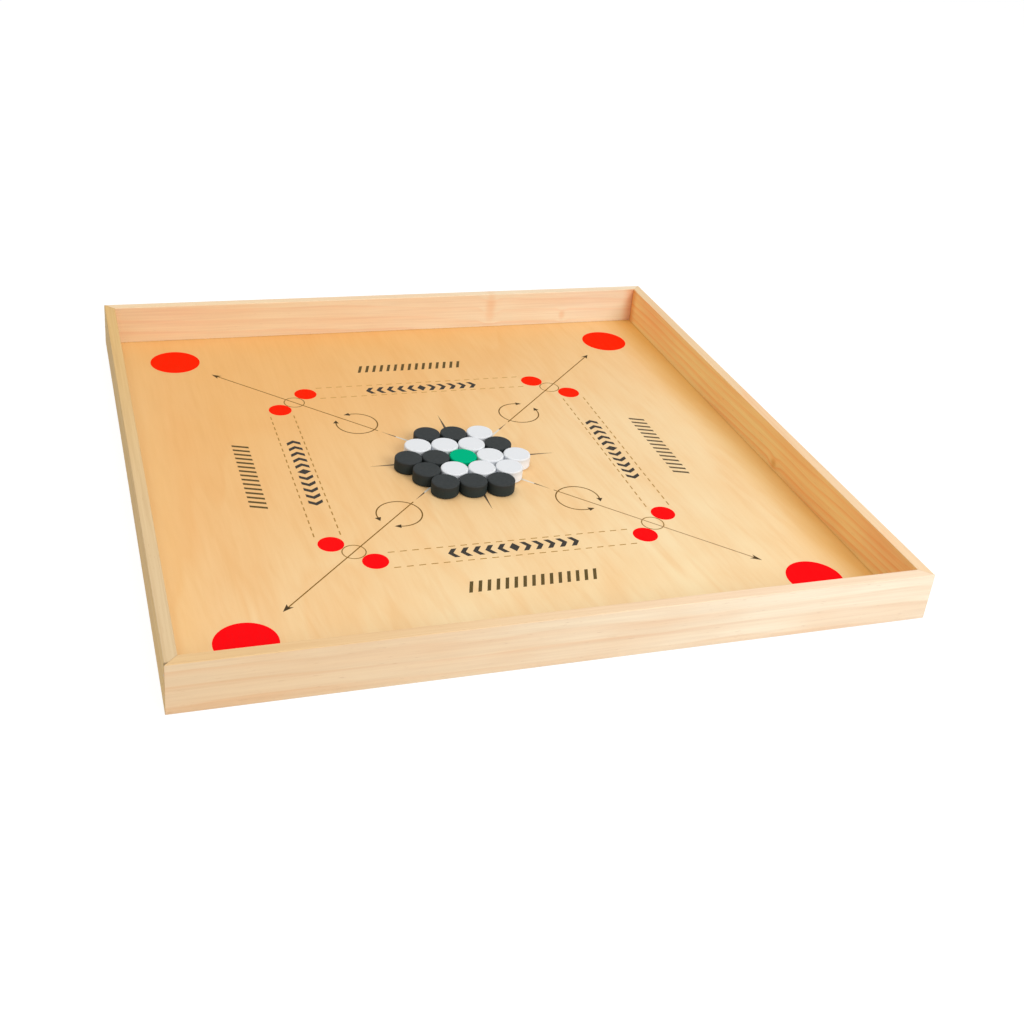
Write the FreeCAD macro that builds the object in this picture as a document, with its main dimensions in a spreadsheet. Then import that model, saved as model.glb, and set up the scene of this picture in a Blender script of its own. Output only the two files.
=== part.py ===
import FreeCAD, Part
import os
import Sketcher

# A tabletop puck game: a square tray of four mitred pine rails round a thin plywood bed,
# with nineteen loose pucks racked in a hexagon near its middle.
# Millimetres. The origin is the middle of the underside, +Z is up, and -Y is the front.

DRIVING_SIZES = [
    ("board_side", 600, "outer side of the square tray"),
    ("rail_height", 42, "height of each rail"),
    ("rail_thickness", 10, "thickness of each rail"),
    ("edge_round", 0.8, "radius of each rail's eased long edges"),
    ("mitre_gap", 0.2, "open joint between two mitred ends"),
    ("bed_thickness", 3, "thickness of the plywood bed"),
    ("bed_recess", 0.5, "height of the bed's underside above the rails' underside"),
    ("rabbet_width", 5, "depth of the rabbet into each rail"),
    ("bed_clearance", 0.25, "gap between the bed's edge and the rabbet's wall"),
    ("brad_diameter", 1.2, "shank of each steel brad"),
    ("brad_head_diameter", 2, "head of each steel brad"),
    ("brad_head_height", 0.6, "height of each brad's head"),
    ("brad_point", 1.5, "length of each brad's point"),
    ("brad_clearance", 0.05, "gap between a brad and its hole"),
    ("corner_brad_length", 22, "length of the brads across the mitres"),
    ("corner_brad_margin", 12, "height of a corner brad in from the rail's top or underside"),
    ("bed_brad_length", 14, "length of the brads that hold the bed"),
    ("bed_brad_count", 5, "brads along each side of the bed"),
    ("bed_brad_margin", 45, "place of the first bed brad in from the tray's corner"),
    ("puck_diameter", 25, "diameter of each puck"),
    ("puck_height", 12, "height of each puck"),
    ("puck_round", 1.5, "radius of each puck's rounded edges"),
    ("puck_gap", 0.4, "gap between two neighbours in the rack"),
    ("print_film", 0.1, "ink and lacquer that the pucks stand on"),
    ("rack_right", -5, "distance of the rack's middle to the right of the bed's middle"),
    ("rack_back", -12.5, "distance of the rack's middle behind the bed's middle"),
    ("rack_turn", -4.5, "degrees that the rack is turned, anticlockwise from above"),
]

HALF_SIDE = "Sizes.board_side / 2"
INNER_FACE = "(Sizes.board_side / 2 - Sizes.rail_thickness)"
RABBET_WALL = "(%s + Sizes.rabbet_width)" % INNER_FACE
BED_TOP = "(Sizes.bed_recess + Sizes.bed_thickness)"
MITRE_SETBACK = "Sizes.mitre_gap / sqrt(2)"
CORNER_BRAD_LINE = "(Sizes.board_side / 2 - Sizes.rail_thickness / 2)"
CORNER_BRAD_HEIGHTS = ["Sizes.corner_brad_margin", "(Sizes.rail_height - Sizes.corner_brad_margin)"]
BED_BRAD_LINE = "(%s + Sizes.rabbet_width / 2)" % INNER_FACE
BED_BRAD_REACH = "(Sizes.board_side / 2 - Sizes.bed_brad_margin)"
SHANK_HOLE = "Sizes.brad_diameter / 2 + Sizes.brad_clearance"
HEAD_HOLE = "Sizes.brad_head_diameter / 2 + Sizes.brad_clearance"
PUCK_PITCH = "(Sizes.puck_diameter + Sizes.puck_gap)"

SIDES = 4
NEARLY_NOTHING = 0.01

# The rack's rows from the back of the tray to its front, left to right:
# b a black puck, w a white puck, q the green queen.
RACK_ROWS = ["bbw", "wwwb", "bbqww", "bwww", "bbb"]
PUCK_NAMES = {"b": "black_puck_%d", "w": "white_puck_%d", "q": "queen_puck"}

doc = FreeCAD.newDocument("PuckGame")
sheet = doc.addObject("Spreadsheet::Sheet", "Sizes")
for row, (alias, size, note) in enumerate(DRIVING_SIZES, start=1):
    sheet.set("A%d" % row, note)
    sheet.set("B%d" % row, str(size))
    sheet.setAlias("B%d" % row, alias)
doc.recompute()


def origin_part(body, role):
    """One of the body's own origin planes or axes, such as XY_Plane or Z_Axis."""
    for feature in body.Origin.OriginFeatures:
        if feature.Role == role:
            return feature
    raise RuntimeError("no origin part " + role)


def new_sketch(body, name, plane, offset=("0", "0", "0")):
    """A sketch on an origin plane, moved along the sketch's own x, y and normal."""
    sketch = body.newObject("Sketcher::SketchObject", name)
    sketch.AttachmentSupport = (origin_part(body, plane), [""])
    sketch.MapMode = "FlatFace"
    for direction, distance in zip("xyz", offset):
        if distance != "0":
            sketch.setExpression("AttachmentOffset.Base." + direction, distance)
    return sketch


def pin_point(sketch, geometry, point, x, y):
    """Holds a point of the sketch at x, y, both written as expressions."""
    for kind, distance in (("DistanceX", x), ("DistanceY", y)):
        number = sketch.addConstraint(Sketcher.Constraint(kind, geometry, point, 1.0))
        sketch.setExpression("Constraints[%d]" % number, distance)


def draw_outline(sketch, corners):
    """A closed outline of straight lines. The rough start is pulled to size by its corners."""
    rough = [FreeCAD.Vector(i, i * i, 0) for i in range(len(corners))]
    for i, start in enumerate(rough):
        sketch.addGeometry(Part.LineSegment(start, rough[(i + 1) % len(rough)]), False)
    for i in range(len(corners)):
        following = (i + 1) % len(corners)
        sketch.addConstraint(Sketcher.Constraint("Coincident", i, 2, following, 1))
    for i, (x, y) in enumerate(corners):
        pin_point(sketch, i, 1, x, y)


def draw_circles(sketch, centres, radius):
    """One circle of the given radius round each centre."""
    for x, y in centres:
        rough = Part.Circle(FreeCAD.Vector(1, 1, 0), FreeCAD.Vector(0, 0, 1), 1.0)
        number = sketch.addGeometry(rough, False)
        pin_point(sketch, number, 3, x, y)
        size = sketch.addConstraint(Sketcher.Constraint("Radius", number, 1.0))
        sketch.setExpression("Constraints[%d]" % size, radius)


def new_pad(body, sketch, length):
    pad = body.newObject("PartDesign::Pad", sketch.Name + "_pad")
    pad.Profile = sketch
    pad.setExpression("Length", length)
    sketch.Visibility = False
    doc.recompute()
    return pad


def new_pocket(body, sketch, depth, upwards=False):
    """Cuts against the sketch's normal, or along it if upwards, and checks that it did cut."""
    volume_before = body.Shape.Volume
    pocket = body.newObject("PartDesign::Pocket", sketch.Name + "_pocket")
    pocket.Profile = sketch
    pocket.setExpression("Length", depth)
    pocket.Reversed = upwards
    sketch.Visibility = False
    doc.recompute()
    if pocket.Shape.Volume >= volume_before:
        raise RuntimeError(pocket.Name + " cuts nothing")
    return pocket


def round_edges(body, base, name, radius, wanted):
    """Rounds those edges of the base feature for which wanted(edge) holds."""
    edges = ["Edge%d" % i for i, edge in enumerate(base.Shape.Edges, start=1) if wanted(edge)]
    fillet = body.newObject("PartDesign::Fillet", name)
    fillet.Base = (base, edges)
    fillet.setExpression("Radius", radius)
    doc.recompute()
    return fillet


def mirror_copies(body, features, name, plane):
    mirrored = body.newObject("PartDesign::Mirrored", name)
    mirrored.Originals = features
    mirrored.MirrorPlane = (origin_part(body, plane), [""])
    body.Tip = mirrored
    doc.recompute()
    return mirrored


def along_side(count):
    """Places of the bed brads along one side, as expressions."""
    return ["%s * %r" % (BED_BRAD_REACH, 2 * i / (count - 1) - 1) for i in range(count)]


def make_rail(name, turn, nailed_through):
    """One mitred rail, built as the front rail and turned to its own side of the tray.

    A rail that is nailed through has the corner brads' heads in its outer face, and its two
    neighbours take their points in their ends."""
    body = doc.addObject("PartDesign::Body", name)

    plan = new_sketch(body, name + "_plan", "XY_Plane")
    outer_end = "(%s - %s)" % (HALF_SIDE, MITRE_SETBACK)
    inner_end = "(%s - %s)" % (INNER_FACE, MITRE_SETBACK)
    outer_y = "-(%s)" % HALF_SIDE
    inner_y = "-" + INNER_FACE
    draw_outline(plan, [("-" + outer_end, outer_y), (outer_end, outer_y),
                        (inner_end, inner_y), ("-" + inner_end, inner_y)])
    stock = new_pad(body, plan, "Sizes.rail_height")

    inner_face = sheet.board_side / 2 - sheet.rail_thickness

    def eased(edge):
        box = edge.BoundBox
        lengthwise = max(box.YLength, box.ZLength) < NEARLY_NOTHING
        in_rabbet = box.ZMax < NEARLY_NOTHING and abs(box.YMax + inner_face) < NEARLY_NOTHING
        return lengthwise and not in_rabbet

    round_edges(body, stock, name + "_eased_edges", "Sizes.edge_round", eased)

    rabbet = new_sketch(body, name + "_rabbet", "XY_Plane")
    draw_outline(rabbet, [("-(%s)" % HALF_SIDE, "-" + RABBET_WALL), (HALF_SIDE, "-" + RABBET_WALL),
                          (HALF_SIDE, inner_y), ("-(%s)" % HALF_SIDE, inner_y)])
    new_pocket(body, rabbet, BED_TOP, upwards=True)

    bed_holes = new_sketch(body, name + "_bed_brad_holes", "XY_Plane")
    brad_places = [(x, "-" + BED_BRAD_LINE) for x in along_side(int(sheet.bed_brad_count))]
    draw_circles(bed_holes, brad_places, SHANK_HOLE)
    new_pocket(body, bed_holes, "Sizes.bed_recess + Sizes.bed_brad_length", upwards=True)

    if nailed_through:
        corners = [(side + CORNER_BRAD_LINE, z) for side in ("", "-") for z in CORNER_BRAD_HEIGHTS]
        shanks = new_sketch(body, name + "_shank_holes", "XZ_Plane", ("0", "0", HALF_SIDE))
        draw_circles(shanks, corners, SHANK_HOLE)
        new_pocket(body, shanks, "Sizes.rail_thickness")
        heads = new_sketch(body, name + "_head_holes", "XZ_Plane", ("0", "0", HALF_SIDE))
        draw_circles(heads, corners, HEAD_HOLE)
        new_pocket(body, heads, "Sizes.brad_head_height")
    else:
        ends = [("-" + CORNER_BRAD_LINE, z) for z in CORNER_BRAD_HEIGHTS]
        points = new_sketch(body, name + "_point_holes", "YZ_Plane", ("0", "0", HALF_SIDE))
        draw_circles(points, ends, SHANK_HOLE)
        one_end = new_pocket(body, points, "Sizes.corner_brad_length")
        mirror_copies(body, [one_end], name + "_point_holes_both_ends", "YZ_Plane")

    body.Placement = FreeCAD.Placement(FreeCAD.Vector(), FreeCAD.Rotation(FreeCAD.Vector(0, 0, 1), turn))
    return body


def make_bed():
    """The plywood sheet in the rails' rabbet, with a countersunk hole for each brad."""
    body = doc.addObject("PartDesign::Body", "playing_bed")
    edge = "(%s - Sizes.bed_clearance)" % RABBET_WALL
    plan = new_sketch(body, "bed_plan", "XY_Plane", ("0", "0", "Sizes.bed_recess"))
    draw_outline(plan, [("-" + edge, "-" + edge), (edge, "-" + edge), (edge, edge), ("-" + edge, edge)])
    new_pad(body, plan, "Sizes.bed_thickness")

    places = [(x, "-" + BED_BRAD_LINE) for x in along_side(int(sheet.bed_brad_count))]
    holes = []
    for name, radius, depth in (("bed_shank_holes", SHANK_HOLE, "Sizes.bed_thickness"),
                                ("bed_head_holes", HEAD_HOLE, "Sizes.brad_head_height")):
        sketch = new_sketch(body, name, "XY_Plane", ("0", "0", "Sizes.bed_recess"))
        draw_circles(sketch, places, radius)
        holes.append(new_pocket(body, sketch, depth, upwards=True))

    four_sides = body.newObject("PartDesign::PolarPattern", "bed_holes_on_four_sides")
    four_sides.Originals = holes
    four_sides.Axis = (origin_part(body, "Z_Axis"), [""])
    four_sides.Occurrences = SIDES
    body.Tip = four_sides
    doc.recompute()
    return body


def new_brad(body, sketch, length, axis):
    """A headed, pointed brad: its head stands on the sketch's origin and its point is along the axis."""
    head = "Sizes.brad_head_diameter / 2"
    shank = "Sizes.brad_diameter / 2"
    profile = [("0", "0"), ("0", head), ("Sizes.brad_head_height", head), ("Sizes.brad_head_height", shank),
               ("%s - Sizes.brad_point" % length, shank), (length, "0")]
    if axis == "V_Axis":
        profile = [(across, along) for along, across in profile]
    draw_outline(sketch, profile)
    brad = body.newObject("PartDesign::Revolution", sketch.Name + "_turned")
    brad.Profile = sketch
    brad.ReferenceAxis = (sketch, [axis])
    sketch.Visibility = False
    doc.recompute()
    return brad


def repeat_brad(body, brad, name, steps):
    """Repeats one brad by each step in turn, so that the body holds them all."""
    group = body.newObject("PartDesign::MultiTransform", name)
    group.Originals = [brad]
    group.Transformations = steps
    body.Tip = group
    doc.recompute()
    return group


def make_corner_brads():
    """Two brads across each mitre, driven in from the left and right faces."""
    body = doc.addObject("PartDesign::Body", "corner_brads")
    sketch = new_sketch(body, "corner_brad", "XZ_Plane",
                        ("-(%s)" % HALF_SIDE, CORNER_BRAD_HEIGHTS[0], CORNER_BRAD_LINE))
    brad = new_brad(body, sketch, "Sizes.corner_brad_length", "H_Axis")

    upwards = body.newObject("PartDesign::LinearPattern", "corner_brads_up")
    upwards.Direction = (origin_part(body, "Z_Axis"), [""])
    upwards.setExpression("Length", "%s - %s" % (CORNER_BRAD_HEIGHTS[1], CORNER_BRAD_HEIGHTS[0]))
    upwards.Occurrences = 2
    across = body.newObject("PartDesign::Mirrored", "corner_brads_across")
    across.MirrorPlane = (origin_part(body, "YZ_Plane"), [""])
    backwards = body.newObject("PartDesign::Mirrored", "corner_brads_back")
    backwards.MirrorPlane = (origin_part(body, "XZ_Plane"), [""])
    repeat_brad(body, brad, "all_corner_brads", [upwards, across, backwards])
    return body


def make_bed_brads():
    """The brads driven up through the bed into the rails, a row to each side."""
    body = doc.addObject("PartDesign::Body", "bed_brads")
    sketch = new_sketch(body, "bed_brad", "XZ_Plane",
                        ("-" + BED_BRAD_REACH, "Sizes.bed_recess", BED_BRAD_LINE))
    brad = new_brad(body, sketch, "Sizes.bed_brad_length", "V_Axis")

    along = body.newObject("PartDesign::LinearPattern", "bed_brads_along")
    along.Direction = (origin_part(body, "X_Axis"), [""])
    along.setExpression("Length", "2 * %s" % BED_BRAD_REACH)
    along.setExpression("Occurrences", "Sizes.bed_brad_count")
    around = body.newObject("PartDesign::PolarPattern", "bed_brads_around")
    around.Axis = (origin_part(body, "Z_Axis"), [""])
    around.Occurrences = SIDES
    repeat_brad(body, brad, "all_bed_brads", [along, around])
    return body


def make_puck(name, columns_right, rows_back):
    """One puck, placed by its columns to the right and rows to the back of the rack's middle."""
    body = doc.addObject("PartDesign::Body", name)
    sketch = new_sketch(body, name + "_circle", "XY_Plane")
    draw_circles(sketch, [("0", "0")], "Sizes.puck_diameter / 2")
    disc = new_pad(body, sketch, "Sizes.puck_height")
    round_edges(body, disc, name + "_rounded", "Sizes.puck_round", lambda edge: edge.isClosed())
    right = "(%s * %r)" % (PUCK_PITCH, columns_right)
    back = "(%s * sqrt(3) / 2 * %d)" % (PUCK_PITCH, rows_back)
    place = {
        "x": "Sizes.rack_right + %s * cos(Sizes.rack_turn) - %s * sin(Sizes.rack_turn)" % (right, back),
        "y": "Sizes.rack_back + %s * sin(Sizes.rack_turn) + %s * cos(Sizes.rack_turn)" % (right, back),
        "z": "%s + Sizes.print_film" % BED_TOP,
    }
    for direction, distance in place.items():
        body.setExpression("Placement.Base." + direction, distance)
    return body


def make_rack():
    """All the pucks, numbered by colour from the back row to the front, left to right."""
    pucks = []
    counts = {"b": 0, "w": 0}
    for row, colours in enumerate(RACK_ROWS):
        for column, colour in enumerate(colours):
            name = PUCK_NAMES[colour]
            if colour in counts:
                counts[colour] += 1
                name = name % counts[colour]
            columns_right = column - (len(colours) - 1) / 2
            rows_back = (len(RACK_ROWS) - 1) // 2 - row
            pucks.append(make_puck(name, columns_right, rows_back))
    return pucks


pieces = [
    make_bed(),
    make_rail("front_rail", 0, nailed_through=False),
    make_rail("right_rail", 90, nailed_through=True),
    make_rail("back_rail", 180, nailed_through=False),
    make_rail("left_rail", 270, nailed_through=True),
    make_corner_brads(),
    make_bed_brads(),
]
pieces += make_rack()
doc.recompute()

for item in doc.Objects:
    if "Invalid" in item.State or "Error" in item.State:
        raise RuntimeError("%s failed: %s" % (item.Name, item.State))

brads_in_all = {
    "corner_brads": SIDES * len(CORNER_BRAD_HEIGHTS),
    "bed_brads": SIDES * int(sheet.bed_brad_count),
}
for piece in pieces:
    if piece.Shape.isNull() or not piece.Shape.isValid():
        raise RuntimeError("bad shape in " + piece.Label)
    if len(piece.Shape.Solids) != brads_in_all.get(piece.Label, 1):
        raise RuntimeError("%s has %d solids" % (piece.Label, len(piece.Shape.Solids)))

os.makedirs("parts", exist_ok=True)
for piece in pieces:
    piece.Shape.exportStep("parts/%s.step" % piece.Label)
    print(piece.Label, "%.1f mm3" % piece.Shape.Volume)
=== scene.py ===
import bmesh
import bpy
import math
from collections import namedtuple
from mathutils import Matrix, Vector


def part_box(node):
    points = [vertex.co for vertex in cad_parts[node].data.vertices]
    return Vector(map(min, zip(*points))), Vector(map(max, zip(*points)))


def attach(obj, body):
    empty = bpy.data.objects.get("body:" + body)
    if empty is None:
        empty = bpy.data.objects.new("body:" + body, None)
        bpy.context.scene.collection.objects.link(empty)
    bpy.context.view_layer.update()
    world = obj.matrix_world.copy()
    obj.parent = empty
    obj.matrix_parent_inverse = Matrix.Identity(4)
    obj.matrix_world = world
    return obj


# Dresses the tabletop puck game: pine rails, a printed plywood bed, steel brads and moulded pucks.
# Drawings and patterns are in millimetres, and finished pieces in metres.

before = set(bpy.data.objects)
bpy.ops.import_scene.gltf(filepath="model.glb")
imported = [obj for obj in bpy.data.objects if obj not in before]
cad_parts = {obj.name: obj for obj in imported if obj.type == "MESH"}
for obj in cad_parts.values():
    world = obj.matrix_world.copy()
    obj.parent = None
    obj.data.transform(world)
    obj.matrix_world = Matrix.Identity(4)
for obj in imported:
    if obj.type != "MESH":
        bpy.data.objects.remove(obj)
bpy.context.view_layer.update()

MM = 0.001
WHITE = "#ffffff"
BED_UNDERSIDE, BED_TOP = [corner.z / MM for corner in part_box("playing_bed")]
HALF_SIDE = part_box("right_rail")[1].x / MM
INNER_FACE = -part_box("front_rail")[1].y / MM
RAIL_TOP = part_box("front_rail")[1].z / MM

# Degrees that bring each rail to the front rail's place.
RAIL_TURNS = {"front_rail": 0, "right_rail": -90, "back_rail": 180, "left_rail": 90}

# A knot's place along its rail and above the table, its half sizes, and how strongly it shows.
Knot = namedtuple("Knot", "along level half_length half_height strength")

# The wood of each rail, as pine() takes it. The right and back rails get painted shade inside the mitre where
# they meet.
RAIL_WOOD = {
    # Painted light: the early and top tones grow paler towards this rail's right end, nearer the key lamp.
    "front_rail": dict(pith=(-30, -60), lean=0.004, ring_width=14.0, contrast=0.38, seed=11.0,
                       early=("#e8cda7", "#f6e9d1"), late="#e0aa78", top=("#e2be8a", "#f5dec2")),
    # Partly painted shade: the orange early and late tones are partly the pine's own tone and partly stand
    # for the shaded inner face; the paler top tone is partly painted light.
    "right_rail": dict(pith=(-18, -70), lean=0.03, ring_width=7.4, contrast=0.55, seed=47.0,
                       early=("#ffdd94", "#ffe099"), late="#fba050", top=("#efd4ae", "#ebd0a6"),
                       knots=[Knot(along=-61, level=9.5, half_length=4.8, half_height=4.2, strength=0.5)],
                       knot_tone="#d38c22", band=0.35, shaded_corner_end=1),
    "back_rail": dict(pith=(30, -55), lean=-0.045, ring_width=13.0, contrast=0.4, seed=83.0,
                      early=("#f6ebd2", "#f6deb8"), late="#f0be92", top=("#f5e0c0", "#f4d8b0"),
                      knots=[Knot(along=-117, level=27, half_length=5.6, half_height=18.0, strength=0.3),
                             Knot(along=-204, level=14, half_length=3.6, half_height=5.5, strength=0.3)],
                      knot_tone="#e8a468", shaded_corner_end=-1),
    # Partly painted shade: the darker yellow-brown early and late tones are partly the pine's own tone and
    # partly stand for the shaded outer face.
    "left_rail": dict(pith=(50, 70), lean=0.01, ring_width=6.3, contrast=0.35, seed=131.0,
                      early=("#d4b068", "#e4be76"), late="#b58d54", top=("#dfb878", "#ddc399"),
                      knots=[Knot(along=298.4, level=41.5, half_length=1.8, half_height=1.5, strength=0.8)],
                      knot_tone="#6e5634"),
}

# The plastic of each kind of puck, as moulded() takes it.
PUCK_PLASTIC = {
    # Each side tone is painted light and shade on the puck's side: darker on the black and green pucks,
    # cooler and paler on the white ones, against the warm light the bed throws on them.
    "black_puck": dict(colour="#313536", side="#2c3637", rubbed="#44484a", shine=0.12),
    "white_puck": dict(colour="#dfe2e6", side="#edf3fb", rubbed="#eff1f3", shine=0.2),
    "queen_puck": dict(colour="#00b07e", side="#00a070", rubbed="#10b888", shine=0.01),
}

# Films that cross on the bed differ in thickness, so that their faces never lie in one plane.
FILM_THICKNESS = {
    "red_spots": 0.06,
    "lane_dashes": 0.03,
    "lane_ornaments": 0.05,
    "edge_ticks": 0.05,
    "diagonal_lines": 0.045,
    "diagonal_arrowheads": 0.05,
    "turning_arcs": 0.035,
    "turning_arrowheads": 0.05,
    "small_circles": 0.035,
    "star_dark_points": 0.05,
    "star_light_points": 0.05,
}


def tone(code):
    """A colour written as #rrggbb, in linear light."""
    levels = [int(code[i:i + 2], 16) / 255 for i in (1, 3, 5)]
    return [x / 12.92 if x <= 0.04045 else ((x + 0.055) / 1.055) ** 2.4 for x in levels] + [1.0]


class Shading:
    """The nodes of a material or a world, and short ways to add to them."""

    def __init__(self, owner):
        owner.use_nodes = True
        self.nodes = owner.node_tree.nodes
        self.links = owner.node_tree.links

    def add(self, kind, inputs=(), **settings):
        """A new node with its settings and inputs."""
        node = self.nodes.new(kind)
        for setting, value in settings.items():
            setattr(node, setting, value)
        self.feed(node, inputs)
        return node

    def feed(self, node, inputs):
        """Links a socket or writes a plain value to each of the node's inputs that are named."""
        for socket, value in dict(inputs).items():
            if isinstance(value, bpy.types.NodeSocket):
                self.links.new(value, node.inputs[socket])
            else:
                node.inputs[socket].default_value = value

    def math(self, operation, first, second=0.0, third=0.0):
        return self.add("ShaderNodeMath", {0: first, 1: second, 2: third}, operation=operation).outputs[0]

    def seen_directly(self):
        """1 for a ray from the camera, also mirrored or bent, and 0 for a ray of scattered light."""
        path = self.add("ShaderNodeLightPath").outputs
        mirrored = self.math("MAXIMUM", path["Is Camera Ray"], path["Is Glossy Ray"])
        return self.math("MAXIMUM", mirrored, path["Is Transmission Ray"])


class Finish(Shading):
    """A procedural material with patterns in millimetres on the piece's own coordinates."""

    def __init__(self, name):
        self.material = bpy.data.materials.new(name)
        super().__init__(self.material)
        self.shader = self.nodes["Principled BSDF"]
        place = self.add("ShaderNodeTexCoord").outputs["Object"]
        self.place = self.moved(place, scale=(1 / MM,) * 3)

    def moved(self, vector, scale=(1, 1, 1), turn=0, shift=(0, 0, 0)):
        """The vector scaled, then turned by degrees about the vertical, then shifted."""
        return self.add("ShaderNodeMapping", {"Vector": vector, "Scale": scale, "Location": shift,
                                              "Rotation": (0, 0, math.radians(turn))}).outputs[0]

    def axes(self, vector):
        """The x, y and z of a vector."""
        return self.add("ShaderNodeSeparateXYZ", {0: vector}).outputs

    def times(self, first, second):
        return self.math("MULTIPLY", first, second)

    def distance(self, first, second):
        squares = [self.math("POWER", offset, 2.0) for offset in (first, second)]
        return self.math("SQRT", self.math("ADD", *squares))

    def noise(self, vector, scale, detail=2.0, roughness=0.5, distortion=0.0):
        """Noise about 1 / scale millimetres across. A scale for each axis stretches it."""
        if isinstance(scale, tuple):
            vector, scale = self.moved(vector, scale=scale), 1.0
        return self.add("ShaderNodeTexNoise", {"Vector": vector, "Scale": scale, "Detail": detail,
                                               "Roughness": roughness, "Distortion": distortion}).outputs[0]

    def smooth(self, value, low, high, start=0.0, end=1.0):
        """Start below low, end above high, and a smooth change between them."""
        node = self.add("ShaderNodeMapRange", {"Value": value, "From Min": low, "From Max": high,
                                               "To Min": start, "To Max": end})
        node.interpolation_type = "SMOOTHSTEP"
        return node.outputs[0]

    def curve(self, value, stops):
        """A value between 0 and 1 read off a line through the stops."""
        node = self.add("ShaderNodeValToRGB", {"Fac": value})
        elements = node.color_ramp.elements
        while len(elements) < len(stops):
            elements.new(0.5)
        for element, (position, level) in zip(elements, stops):
            element.position = position
            element.color = (level, level, level, 1)
        return node.outputs[0]

    def mix(self, factor, first, second, blend="MIX"):
        node = self.add("ShaderNodeMix", data_type="RGBA", blend_type=blend)
        self.feed(node, {0: factor, 6: first, 7: second})
        return node.outputs[2]

    def stained(self, colour, marks, strength, code):
        """The colour with another tone where the marks are."""
        return self.mix(self.times(marks, strength), colour, tone(code))

    def fibred(self, colour, fibres, strength, code):
        """The colour darkened a little between the fibres."""
        shade = self.mix(self.smooth(fibres, 0.3, 0.7), tone(code), tone(WHITE))
        return self.mix(strength, colour, shade, "MULTIPLY")

    def bump(self, height, depth):
        """Bump from a height between 0 and 1 that stands for the depth in millimetres."""
        node = self.add("ShaderNodeBump", {"Height": height, "Distance": depth * MM, "Strength": 1.0})
        self.feed(self.shader, {"Normal": node.outputs[0]})

    def surface(self, **sockets):
        """Feeds the shader and gives the finished material."""
        names = {"colour": "Base Color", "roughness": "Roughness", "shine": "Specular IOR Level",
                 "metal": "Metallic"}
        self.feed(self.shader, {names[key]: value for key, value in sockets.items()})
        return self.material


def rail_coordinates(finish, rail):
    """Millimetres along the rail, inwards from its middle line and up from the table."""
    low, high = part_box(rail)
    turned = finish.moved(finish.place, turn=RAIL_TURNS[rail])
    middle = Matrix.Rotation(math.radians(RAIL_TURNS[rail]), 3, "Z") @ ((low + high) / 2) / MM
    return finish.moved(turned, shift=(0, -middle.y, 0))


def growth_radius(finish, own, seeded, pith, lean, ring_width):
    """Distance from the pith, uneven as in a real trunk."""
    along, inwards, level = finish.axes(own)
    pith_inwards, pith_level = pith
    wander_depth, ripple_depth = 22.0, ring_width * 0.55
    wander = finish.noise(seeded, (0.0026, 0.012, 0.012))
    ripple = finish.noise(seeded, (0.009, 0.05, 0.05))
    radius = finish.distance(finish.math("SUBTRACT", inwards, pith_inwards),
                             finish.math("SUBTRACT", level, pith_level))
    radius = finish.math("MULTIPLY_ADD", along, lean, radius)
    radius = finish.math("MULTIPLY_ADD", wander, wander_depth, radius)
    return finish.math("MULTIPLY_ADD", ripple, ripple_depth, radius)


def bend_round_knots(finish, radius, own, knots):
    """Bends the rings round each knot, and says how strongly the knots show.

    How far the bend and the tone reach is in shares of the knot's half sizes."""
    along, _, level = finish.axes(own)
    bend_end, tone_start, tone_end = 3.2, 0.2, 1.5
    shown = 0.0
    for knot in knots:
        away = finish.math("DIVIDE", finish.math("SUBTRACT", along, knot.along), knot.half_length)
        up = finish.math("DIVIDE", finish.math("SUBTRACT", level, knot.level), knot.half_height)
        distance = finish.distance(away, up)
        near = finish.smooth(distance, 0.0, bend_end, 1.0, 0.0)
        radius = finish.math("MULTIPLY_ADD", near, min(knot.half_length, knot.half_height), radius)
        core = finish.smooth(distance, tone_start, tone_end, knot.strength, 0.0)
        shown = finish.math("MAXIMUM", shown, core)
    return radius, shown


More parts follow.
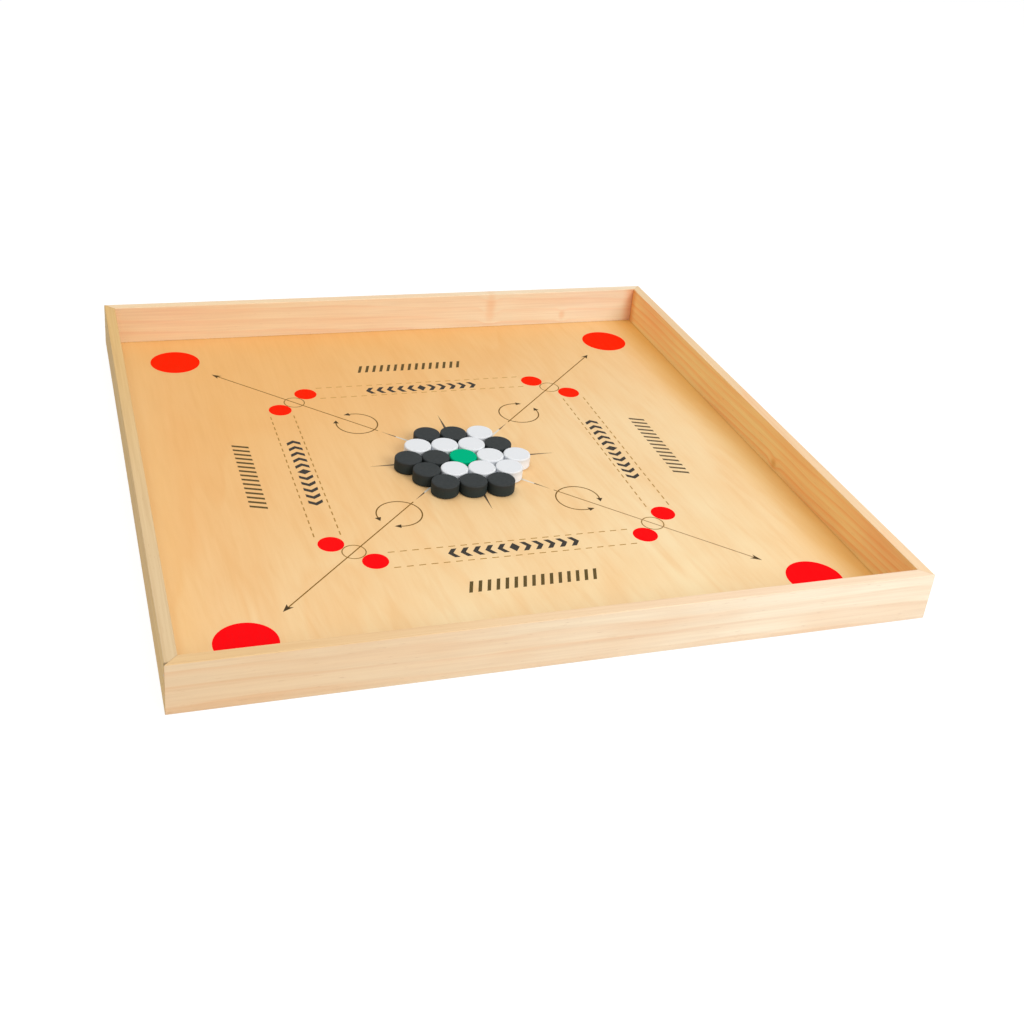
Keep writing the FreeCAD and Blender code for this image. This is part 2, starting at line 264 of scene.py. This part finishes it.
def pine(rail, pith, lean, ring_width, contrast, seed, early, late, top, knots=(), knot_tone=WHITE,
         band=0.0, shaded_corner_end=0):
    """Planed pine along a rail. Growth rings run round a pith (y, z) that leans along the rail.

    Early wood and the top face each have a tone for the rail's start and one for its end, and on
    some rails these tones carry painted light and shade as well. A band of late wood may darken the
    upper half. Shade is painted on the inner face inside the mitre at the end the last argument
    picks: 1 the end, -1 the start, 0 neither."""
    finish = Finish("pine_" + rail)
    own = rail_coordinates(finish, rail)
    seeded = finish.moved(own, shift=(seed, seed * 0.7, seed * 1.3))
    along, inwards, level = finish.axes(own)
    radius = growth_radius(finish, own, seeded, pith, lean, ring_width)
    radius, knots_shown = bend_round_knots(finish, radius, own, knots)

    season = finish.math("FRACT", finish.math("DIVIDE", radius, ring_width))
    latewood = finish.curve(season, [(0.0, 0.1), (0.25, 0.05), (0.6, 0.5), (0.88, 1.0), (0.97, 0.2)])
    years = finish.noise(seeded, (0.003, 0.09, 0.09), 2.0, 0.6)
    latewood = finish.times(latewood, finish.smooth(years, 0.3, 0.65, 0.3, 1.0))
    band_low, band_high = RAIL_TOP - 16.0, RAIL_TOP - 8.0
    darker = finish.times(finish.smooth(level, band_low, band_high), finish.smooth(years, 0.3, 0.6, 0.4, 1.0))
    latewood = finish.math("MAXIMUM", latewood, finish.times(darker, band))

    fibres = finish.noise(seeded, (0.012, 0.55, 0.55), 3.0, 0.6)
    pores = finish.smooth(finish.noise(seeded, (0.11, 1.6, 1.6), 1.0), 0.69, 0.82)
    blotches = finish.smooth(finish.noise(seeded, (0.008, 0.03, 0.03)), 0.35, 0.7, 0.0, 0.25)

    end_margin = 20.0
    ends = finish.smooth(along, end_margin - HALF_SIDE, HALF_SIDE - end_margin)
    base = finish.mix(blotches, finish.mix(ends, tone(early[0]), tone(early[1])), tone(late))
    # The top face takes its own tone; on the right and left rails the change from the sides to the top is
    # partly painted light and shade.
    upper = finish.smooth(level, RAIL_TOP - 0.7, RAIL_TOP - 0.1)
    base = finish.mix(upper, base, finish.mix(ends, tone(top[0]), tone(top[1])))
    rings_shown = finish.times(latewood, finish.smooth(upper, 0.0, 1.0, contrast, contrast * 0.5))
    colour = finish.mix(rings_shown, base, tone(late))
    colour = finish.fibred(colour, fibres, 0.2, "#dccabe")
    colour = finish.stained(colour, pores, 0.3, "#a9744a")
    colour = finish.mix(knots_shown, colour, tone(knot_tone))

    half_thickness = (HALF_SIDE - INNER_FACE) / 2
    # Painted shade: an orange darkening on the inner face next to the mitre, where the tray's inside corner
    # is shaded.
    corner_shade = finish.smooth(finish.times(along, shaded_corner_end), INNER_FACE - 14.0, INNER_FACE)
    on_inner_face = finish.smooth(inwards, half_thickness - 1.5, half_thickness - 0.5)
    colour = finish.stained(colour, finish.times(corner_shade, on_inner_face), 0.5, "#e27f1a")
    finish.bump(finish.math("MULTIPLY_ADD", latewood, 0.5, finish.times(fibres, 0.5)), 0.04)
    return finish.surface(colour=colour, roughness=finish.smooth(fibres, 0.2, 0.8, 0.66, 0.52), shine=0.25)


def veneer_streaks(finish):
    """Soft streaks that slant a little to the grain."""
    slanted = finish.moved(finish.place, turn=-7)
    return finish.noise(slanted, (0.11, 0.013, 1), 3.0, 0.55, 0.3)


def lacquered_veneer(finish, x, y, fibres, flecks, streaks):
    """The bed's top: deeper in tone at the back left, with painted light towards the front right, a painted
    shadow along the right rail, painted light along the left rail and painted shade at the foot of the rails.
    """
    waves = finish.noise(finish.place, (0.0075, 0.0022, 1), 3.0, 0.5, 0.5)
    bands = finish.math("FRACT", finish.times(waves, 7.0))
    bands = finish.curve(bands, [(0.0, 0.0), (0.5, 0.4), (0.8, 1.0), (1.0, 0.0)])
    strength = finish.smooth(finish.noise(finish.place, (0.006, 0.004, 1)), 0.35, 0.7, 0.05, 0.35)
    clouds = finish.smooth(finish.noise(finish.place, (0.012, 0.006, 1), 3.0, 0.55, 0.4), 0.3, 0.7, 0.0, 0.4)
    # Partly painted light: the bed grows paler towards the front right, nearer the key lamp; the rest is the
    # veneer's own tone.
    to_front_right = finish.math("MULTIPLY_ADD", x, 0.85, finish.times(y, -1.0))
    paler = finish.smooth(to_front_right, -330.0, 310.0)

    honey, cream, amber = tone("#eab46e"), tone("#f2dcb0"), tone("#ecbf82")
    base = finish.mix(clouds, finish.mix(paler, honey, cream), amber)
    colour = finish.mix(finish.times(bands, strength), base, tone("#e6aa64"))
    colour = finish.mix(finish.smooth(streaks, 0.42, 0.72, 0.0, 0.18), colour, tone("#dfa661"))
    colour = finish.fibred(colour, fibres, 0.07, "#e4d3bd")
    colour = finish.stained(colour, flecks, 0.08, "#b98450")

    # Painted shadow: a darker golden strip on the bed along the right rail, which shades it.
    painted_rail_shadow = finish.smooth(x, INNER_FACE - 50.0, INNER_FACE + 2.0, 0.0, 0.6)
    # Painted light: the bed is lightened along the left rail, against the shade that rail casts.
    painted_light_left = finish.smooth(x, 5.0 - INNER_FACE, 45.0 - INNER_FACE, 0.4, 0.0)
    # Painted shade: a dark line on the bed at the foot of the rails, where the crease between bed and rail is
    # shaded.
    rim = finish.math("MAXIMUM", finish.math("ABSOLUTE", x), finish.math("ABSOLUTE", y))
    seam_shade = finish.smooth(rim, INNER_FACE - 3.0, INNER_FACE, 0.0, 0.35)
    colour = finish.mix(painted_rail_shadow, colour, tone("#dca228"))
    colour = finish.mix(painted_light_left, colour, tone("#ebcc90"))
    return finish.mix(seam_shade, colour, tone("#a8742c"))


def bare_plies(finish, level, flecks, streaks):
    """The bed's underside and edges: three plies, of which the middle one is darker."""
    outer_ply, blur = (BED_TOP - BED_UNDERSIDE) / 4, 0.05
    low, high = BED_UNDERSIDE + outer_ply, BED_TOP - outer_ply
    core = finish.math("SUBTRACT", finish.smooth(level, low - blur, low + blur),
                       finish.smooth(level, high - blur, high + blur))
    pale_veneer, darker_core = tone("#ecd0a4"), tone("#c99c66")
    bare = finish.mix(core, pale_veneer, darker_core)
    bare = finish.stained(bare, streaks, 0.35, "#cf9f68")
    return finish.stained(bare, flecks, 0.3, "#a67a4c")


def plywood():
    """The bed's sliced veneer, with its grain from front to back and clear satin lacquer on top."""
    finish = Finish("printed_plywood_lacquer")
    x, y, level = finish.axes(finish.place)
    fibres = finish.noise(finish.place, (0.4, 0.012, 1), 4.0, 0.6)
    flecks = finish.smooth(finish.noise(finish.place, (2.4, 0.22, 1), 1.0), 0.7, 0.8)
    streaks = veneer_streaks(finish)
    on_top = finish.smooth(level, BED_TOP - 0.6, BED_TOP - 0.4)
    colour = finish.mix(on_top, bare_plies(finish, level, flecks, streaks),
                        lacquered_veneer(finish, x, y, fibres, flecks, streaks))
    finish.bump(fibres, 0.015)
    return finish.surface(colour=colour, roughness=finish.smooth(fibres, 0.2, 0.8, 0.52, 0.42), shine=0.2)


def ink(name, colour, worn, shine=0.12, other=None, towards=(0, -1), span=(-200.0, 200.0)):
    """Screen-printed ink, a little uneven, with the worn tone where it is thin on the grain.

    It may have another colour and worn tone towards some side of the bed."""
    finish = Finish(name)
    grain = finish.noise(finish.place, (1.3, 0.05, 1), 3.0, 0.6)
    cover = finish.noise(finish.place, (0.25, 0.25, 1), 3.0, 0.6)
    thin = finish.times(finish.smooth(grain, 0.35, 0.75), finish.smooth(cover, 0.3, 0.7, 0.2, 1.0))
    fresh, rubbed = tone(colour), tone(worn)
    if other:
        x, y, _ = finish.axes(finish.place)
        reach = finish.math("MULTIPLY_ADD", x, towards[0], finish.times(y, towards[1]))
        reach = finish.smooth(reach, *span)
        fresh = finish.mix(reach, fresh, tone(other[0]))
        rubbed = finish.mix(reach, rubbed, tone(other[1]))
    finish.bump(grain, 0.01)
    return finish.surface(colour=finish.mix(thin, fresh, rubbed),
                          roughness=finish.smooth(cover, 0.2, 0.8, 0.5, 0.65), shine=shine)


def moulded(node, colour, side, rubbed, shine):
    """Satin plastic of one puck: fine texture, faint scuffs on its top, a paler rim that is partly rubbed and
    partly a painted highlight, and a side tone that is painted light and shade.
    """
    finish = Finish("plastic_" + node)
    low, high = [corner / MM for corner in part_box(node)]
    middle = (low + high) / 2
    radius, tall, rounding = (high.x - low.x) / 2, high.z - low.z, 1.5
    x, y, level = finish.axes(finish.moved(finish.place, shift=(-middle.x, -middle.y, -low.z)))
    rim = finish.times(finish.smooth(finish.distance(x, y), radius - rounding, radius - 0.3),
                       finish.smooth(level, tall - 1.6, tall - 0.5))
    patchy = finish.noise(finish.place, 0.35, 3.0, 0.6)
    scuffs = finish.noise(finish.moved(finish.place, scale=(0.5, 2.6, 1), turn=35), 1.0, 3.0, 0.7)
    # The paler rim is partly wear and partly a painted highlight on the rounded edge; the scuffs are wear.
    wear_and_highlight = finish.math("MAXIMUM", finish.times(rim, finish.smooth(patchy, 0.3, 0.6, 0.0, 0.4)),
                       finish.smooth(scuffs, 0.56, 0.74, 0.0, 0.15))
    # Painted light and shade: the side takes its own tone below the top, as noted in PUCK_PLASTIC.
    body = finish.mix(finish.smooth(level, tall - 7.0, tall - 0.8), tone(side), tone(colour))
    finish.bump(finish.noise(finish.place, 3.2), 0.02)
    return finish.surface(colour=finish.mix(wear_and_highlight, body, tone(rubbed)),
                          roughness=finish.smooth(patchy, 0.25, 0.75, 0.55, 0.7), shine=shine)


def wire_steel():
    """Drawn steel wire, with rings from cutting and a little tarnish."""
    finish = Finish("brad_steel")
    tarnish = finish.noise(finish.place, 1.4, 3.0, 0.6)
    scratch = finish.noise(finish.place, (7.0, 0.8, 7.0), 2.0, 0.6)
    bright, dull = tone("#c9c8c4"), tone("#8d8579")
    colour = finish.mix(finish.smooth(tarnish, 0.4, 0.75, 0.0, 0.6), bright, dull)
    finish.bump(scratch, 0.01)
    return finish.surface(colour=colour, roughness=finish.smooth(scratch, 0.2, 0.8, 0.28, 0.5), metal=1.0)


def dress(node, material):
    """Gives a CAD node the finish in each of its material slots."""
    for material_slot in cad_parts[node].material_slots:
        material_slot.material = material


def bar(bm, start, end, width):
    """A flat straight bar between two points."""
    start, end = Vector(start), Vector(end)
    run = end - start
    middle = Matrix.Translation(((start + end) / 2).to_3d())
    turn = Matrix.Rotation(math.atan2(run.y, run.x), 4, "Z")
    size = Matrix.Diagonal((run.length, width, 1, 1))
    bmesh.ops.create_grid(bm, x_segments=1, y_segments=1, size=0.5, matrix=middle @ turn @ size)


def disc(bm, centre, radius):
    """A flat round face."""
    bmesh.ops.create_circle(bm, cap_ends=True, segments=96, radius=radius,
                            matrix=Matrix.Translation((*centre, 0)))


def ring(bm, centre, radius, width, start=0.0, sweep=360.0):
    """A flat ring, or an arc of one that starts and sweeps by these degrees."""
    centre = Vector((*centre, 0))
    ray = Vector((math.cos(math.radians(start)), math.sin(math.radians(start)), 0))
    ends = [bm.verts.new(centre + ray * (radius + side * width / 2)) for side in (-1, 1)]
    edge = bm.edges.new(ends)
    degrees_a_step = 5
    bmesh.ops.spin(bm, geom=ends + [edge], cent=centre, axis=(0, 0, 1), angle=math.radians(sweep),
                   steps=round(sweep / degrees_a_step), use_merge=sweep == 360.0, use_duplicate=False)


def patch(bm, corners, turn=0.0, centre=(0, 0)):
    """A flat face through the corners, turned about the origin and then moved to the centre."""
    matrix = Matrix.Translation((*centre, 0)) @ Matrix.Rotation(math.radians(turn), 4, "Z")
    bm.faces.new([bm.verts.new(matrix @ Vector((x, y, 0))) for x, y in corners])


def corners_of(geometry):
    """The vertices among what an operator made."""
    return [item for item in geometry if isinstance(item, bmesh.types.BMVert)]


def on_four_sides(bm):
    """Copies what is drawn so far to the other three sides, a quarter turn apart."""
    drawn = bm.verts[:] + bm.edges[:] + bm.faces[:]
    for turn in (90, 180, 270):
        copy = bmesh.ops.duplicate(bm, geom=drawn)["geom"]
        bmesh.ops.rotate(bm, verts=corners_of(copy), matrix=Matrix.Rotation(math.radians(turn), 3, "Z"))


def lay_film(name, bm, material):
    """Makes a flat drawing a closed film of ink that lies on the bed and goes with it."""
    raised = bmesh.ops.extrude_face_region(bm, geom=bm.faces[:])["geom"]
    bmesh.ops.translate(bm, verts=corners_of(raised), vec=(0, 0, FILM_THICKNESS[name]))
    bmesh.ops.recalc_face_normals(bm, faces=bm.faces[:])
    bmesh.ops.translate(bm, verts=bm.verts[:], vec=(0, 0, BED_TOP))
    bmesh.ops.scale(bm, verts=bm.verts[:], vec=(MM, MM, MM))
    mesh = bpy.data.meshes.new(name)
    bm.to_mesh(mesh)
    bm.free()
    mesh.materials.append(material)
    piece = bpy.data.objects.new(name, mesh)
    bpy.context.scene.collection.objects.link(piece)
    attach(piece, "tray")


def print_red_spots(material):
    """A large spot near each corner, and two small ones where the lanes of two sides meet."""
    corner, large = 236, 24.4
    near, far, small = 119, 149.3, 10.9
    bm = bmesh.new()
    disc(bm, (corner, corner), large)
    disc(bm, (near, far), small)
    disc(bm, (far, near), small)
    on_four_sides(bm)
    lay_film("red_spots", bm, material)


def print_lane_dashes(material):
    """Two dashed lines to a side, from one pair of small spots to the next."""
    lines, pitch, length, width, steps = (138.5, 160.7), 10.35, 5.7, 1.1, 10
    bm = bmesh.new()
    for line in lines:
        for step in range(-steps, steps + 1):
            bar(bm, (step * pitch - length / 2, line), (step * pitch + length / 2, line), width)
    on_four_sides(bm)
    lay_film("lane_dashes", bm, material)


def print_lane_ornaments(material):
    """A row of chevrons to each side that point away from a lozenge in its middle."""
    middle, height, pitch, stroke, depth, each_way = 148.6, 12.6, 10.7, 4.6, 4.4, 5
    half = height / 2
    chevron = [(0, -half), (stroke, -half), (stroke + depth, 0), (stroke, half), (0, half), (depth, 0)]
    bm = bmesh.new()
    patch(bm, [(0, -half), (stroke, 0), (0, half), (-stroke, 0)], centre=(0, middle))
    for step in range(1, each_way + 1):
        for side, turn in ((1, 0), (-1, 180)):
            patch(bm, chevron, turn, (side * (step * pitch - stroke), middle))
    on_four_sides(bm)
    lay_film("lane_ornaments", bm, material)


def print_edge_ticks(material):
    """A row of slanted ticks to each side, outside its lane."""
    low, high, pitch, width, slant, each_way = 190.2, 204.9, 7.55, 3.0, 5.0, 7
    half, lean = width / 2, slant / 2
    tick = [(-lean - half, low), (-lean + half, low), (lean + half, high), (lean - half, high)]
    bm = bmesh.new()
    for step in range(-each_way, each_way + 1):
        patch(bm, tick, centre=(step * pitch, 0))
    on_four_sides(bm)
    lay_film("edge_ticks", bm, material)


def print_diagonal_arrows(line_ink, head_ink):
    """A long arrow to each corner, from just outside the star."""
    start, neck, barb, tip = 92.5, 280.3, 278.3, 287.8
    half_line, half_head = 0.55, 3.3
    bm = bmesh.new()
    patch(bm, [(start, -half_line), (neck, -half_line), (neck, half_line), (start, half_line)], 45)
    on_four_sides(bm)
    lay_film("diagonal_lines", bm, line_ink)
    bm = bmesh.new()
    patch(bm, [(neck, -half_line), (barb, -half_head), (tip, 0), (barb, half_head), (neck, half_line)], 45)
    on_four_sides(bm)
    lay_film("diagonal_arrowheads", bm, head_ink)


def print_turning_arrows(line_ink, head_ink):
    """An open circle round each diagonal with an arrowhead at both its ends."""
    centre, radius, gap, width = (82.2, 82.2), 19.8, 36, 1.2
    head_length, half_head = 5.8, 2.8
    bm = bmesh.new()
    ring(bm, centre, radius, width, 45 + gap, 360 - 2 * gap)
    on_four_sides(bm)
    lay_film("turning_arcs", bm, line_ink)
    bm = bmesh.new()
    for side in (-1, 1):
        bearing = 45 + side * gap
        angle = math.radians(bearing)
        end = (centre[0] + radius * math.cos(angle), centre[1] + radius * math.sin(angle))
        patch(bm, [(0, -half_head), (head_length, 0), (0, half_head)], bearing - side * 90, end)
    on_four_sides(bm)
    lay_film("turning_arrowheads", bm, head_ink)


def print_small_circles(material):
    """A small circle on each diagonal, between the pair of small spots."""
    centre, radius, width = (133.1, 133.1), 9.8, 1.0
    bm = bmesh.new()
    ring(bm, centre, radius, width)
    on_four_sides(bm)
    lay_film("small_circles", bm, material)


def print_star(dark, light):
    """An eight-pointed star in the middle: four dark points, and four light ones with dark tips."""
    reach, split, half_root = 88.5, 73.0, 3.7
    root = half_root / math.tan(math.radians(22.5))
    half_split = half_root * (reach - split) / (reach - root)
    bm = bmesh.new()
    patch(bm, [(0, 0), (root, -half_root), (reach, 0), (root, half_root)])
    patch(bm, [(split, -half_split), (reach, 0), (split, half_split)], 45)
    on_four_sides(bm)
    lay_film("star_dark_points", bm, dark)
    bm = bmesh.new()
    patch(bm, [(0, 0), (root, -half_root), (split, -half_split), (split, half_split), (root, half_root)], 45)
    on_four_sides(bm)
    lay_film("star_light_points", bm, light)


def print_bed():
    """Prints the bed from its corners to its middle."""
    red = ink("red_ink", "#fc2203", "#f52c0c", shine=0.01, other=("#fb0a12", "#f21218"))
    sepia = ink("sepia_ink", "#3c2e16", "#56431f")
    brown = ink("brown_ink", "#7c5818", "#906a28", other=("#9c7c58", "#b0906a"),
                towards=(1, -1), span=(80.0, 300.0))
    tan = ink("tan_ink", "#a47a36", "#b68a46", other=("#b88a3e", "#c69a50"),
              towards=(0, 1), span=(60.0, 150.0))
    olive = ink("olive_ink", "#564620", "#6a5632", other=("#5c4e38", "#706046"),
                towards=(1, 0), span=(60.0, 190.0))
    print_red_spots(red)
    print_lane_dashes(tan)
    print_lane_ornaments(ink("charcoal_ink", "#33302c", "#484032"))
    print_edge_ticks(olive)
    print_diagonal_arrows(brown, sepia)
    print_turning_arrows(ink("umber_ink", "#6b4c16", "#806024"), sepia)
    print_small_circles(ink("fawn_ink", "#8a6830", "#a07a3c"))
    print_star(ink("slate_ink", "#54483a", "#6b5a44"), ink("pale_ink", "#d9d5ca", "#dccbb0"))


def dress_tray():
    for rail, wood in RAIL_WOOD.items():
        dress(rail, pine(rail, **wood))
    dress("playing_bed", plywood())
    steel = wire_steel()
    for brads in ("corner_brads", "bed_brads"):
        dress(brads, steel)


def dress_pucks():
    for node in sorted(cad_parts):
        for kind, plastic in PUCK_PLASTIC.items():
            if node.startswith(kind):
                dress(node, moulded(node, **plastic))


def set_floor():
    """A pale floor that shows white to the camera and still keeps a soft shadow."""
    half_width, glow_share, glow_strength = 8.0, 0.72, 1.2
    bm = bmesh.new()
    bmesh.ops.create_grid(bm, x_segments=1, y_segments=1, size=half_width)
    mesh = bpy.data.meshes.new("studio_floor")
    bm.to_mesh(mesh)
    bm.free()
    material = bpy.data.materials.new("floor_white")
    shading = Shading(material)
    shading.nodes.clear()
    paint = shading.add("ShaderNodeBsdfDiffuse", {"Color": (0.8, 0.8, 0.8, 1)}).outputs[0]
    glow = shading.add("ShaderNodeEmission", {"Strength": glow_strength}).outputs[0]
    bright = shading.add("ShaderNodeMixShader", {0: glow_share, 1: paint, 2: glow}).outputs[0]
    shown = shading.add("ShaderNodeMixShader", {0: shading.seen_directly(), 1: paint, 2: bright}).outputs[0]
    shading.add("ShaderNodeOutputMaterial", {"Surface": shown})
    mesh.materials.append(material)
    floor = bpy.data.objects.new("studio_floor", mesh)
    bpy.context.scene.collection.objects.link(floor)


def set_world():
    """Even pale light from all round, which shows as white to the camera."""
    light_strength, seen_strength = 0.55, 1.0
    world = bpy.data.worlds.new("studio")
    bpy.context.scene.world = world
    shading = Shading(world)
    strength = shading.add("ShaderNodeMapRange", {"Value": shading.seen_directly(), "To Min": light_strength,
                                                  "To Max": seen_strength}).outputs[0]
    shading.feed(shading.nodes["Background"], {"Color": (1, 1, 1, 1), "Strength": strength})


def hang_lamp(name, place, size, power, colour):
    """A round soft lamp that points at the middle of the tray."""
    lamp = bpy.data.lights.new(name, "AREA")
    lamp.shape = "DISK"
    lamp.size = size
    lamp.energy = power
    lamp.color = colour
    holder = bpy.data.objects.new(name, lamp)
    holder.location = place
    holder.rotation_euler = (-Vector(place)).to_track_quat("-Z", "Y").to_euler()
    bpy.context.scene.collection.objects.link(holder)


def set_camera():
    """Looks down over the tray's front left corner."""
    lens = bpy.data.cameras.new("camera")
    lens.lens = 47.4587
    lens.sensor_width = 36
    lens.shift_x = 0.0215
    lens.shift_y = -0.0898
    camera = bpy.data.objects.new("camera", lens)
    camera.location = (-0.36149, -1.02781, 0.61444)
    camera.rotation_euler = [math.radians(angle) for angle in (62.3703, -5.2545, -17.7148)]
    bpy.context.scene.collection.objects.link(camera)
    bpy.context.scene.camera = camera


bpy.context.scene.view_settings.view_transform = "Standard"
set_camera()
set_world()
set_floor()
hang_lamp("key_lamp", place=(0.9, -1.9, 1.5), size=1.4, power=32.5, colour=(1.0, 0.99, 0.98))
hang_lamp("top_lamp", place=(-0.4, 0.2, 2.4), size=1.6, power=16.5, colour=(1.0, 0.97, 0.92))

print_bed()
dress_tray()
dress_pucks()
